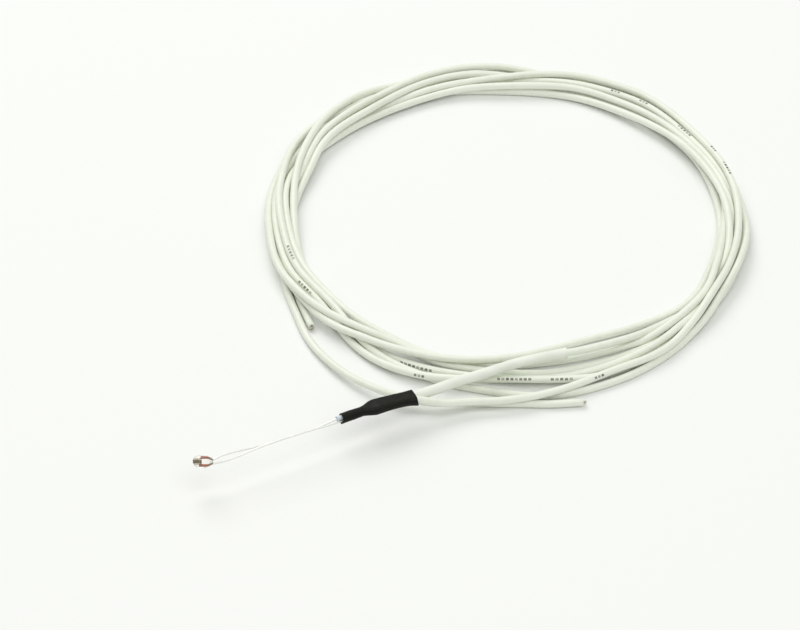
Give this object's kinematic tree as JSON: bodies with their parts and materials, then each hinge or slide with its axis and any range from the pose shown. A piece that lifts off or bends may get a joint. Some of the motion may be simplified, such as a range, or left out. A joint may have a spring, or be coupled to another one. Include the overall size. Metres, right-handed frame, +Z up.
{
  "type": "thermistor",
  "caption": "Glass-bead temperature sensor with bowed bare leads, a black shrink tube over the joints and long off-white wires wound in a loose coil.",
  "frame": {"origin": "centre of the glass bead's straight band, 6 mm above the table", "axes": "+X along the bead from its tip to its neck, +Y across the table towards the coil, +Z up"},
  "size_m": [0.0962, 0.1099, 0.007],
  "materials": {
    "clear_glass": "clear, polished",
    "chip_ceramic": "matt",
    "silver": "satin",
    "lead_metal": "satin; the stretch inside the glass is copper-coloured",
    "pale_sleeve": "translucent, satin",
    "solder": "satin",
    "copper_strands": "bright twisted copper",
    "black_shrink": "satin, lightly wrinkled",
    "white_sleeve": "satin",
    "wire_insulation": "satin, off-white"
  },
  "bodies": {
    "root": {"glass_bead": "clear_glass", "sensing_chip": "chip_ceramic", "silver_face_a": "silver", "silver_face_b": "silver", "bare_lead_a": "lead_metal", "bare_lead_b": "lead_metal", "inner_sleeve": "pale_sleeve", "solder_joint_a": "solder", "solder_joint_b": "solder", "core_a": "copper_strands", "core_b": "copper_strands", "heat_shrink_tube": "black_shrink", "outer_sleeve": "white_sleeve", "wire_a_lead": "wire_insulation", "wire_b_lead": "wire_insulation", "wire_coil": "wire_insulation", "wire_a_tail": "wire_insulation", "wire_b_tail": "wire_insulation", "core_end_a": "copper_strands", "core_end_b": "copper_strands"}
  },
  "joints": []
}
